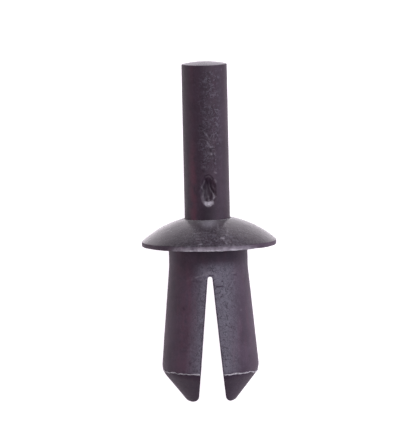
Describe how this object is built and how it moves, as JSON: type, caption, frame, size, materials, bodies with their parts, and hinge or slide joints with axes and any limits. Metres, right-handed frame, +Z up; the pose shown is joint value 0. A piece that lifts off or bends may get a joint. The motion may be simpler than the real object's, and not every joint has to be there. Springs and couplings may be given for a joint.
{
  "type": "push rivet",
  "caption": "Push-in rivet: a domed head on a split, sprung shank with two nibs, and a separate drive pin that slides down its bore and locks the legs apart.",
  "frame": {"origin": "centre of the bottom of the part's box as it lies at rest, on the rim of its head and on both legs; Z is 0 on the surface it lies on", "axes": "+Y along the rivet towards the end of the drive pin, which the lying part holds 12.7 degrees above the surface; +X across the two legs; +Z up"},
  "size_m": [0.011, 0.0274, 0.0107],
  "materials": {
    "body_nylon": "satin moulded nylon, dark charcoal with a faint purple cast",
    "pin_nylon": "satin moulded nylon, dark charcoal with a faint purple cast"
  },
  "bodies": {
    "rivet_body": {"rivet_body": "body_nylon"},
    "drive_pin": {"drive_pin": "pin_nylon"}
  },
  "joints": [
    {"name": "pin_drive", "type": "slide", "parent": "rivet_body", "child": "drive_pin", "axis": [0, -0.9755, -0.2202], "range_m": [0, 0.0125]}
  ]
}
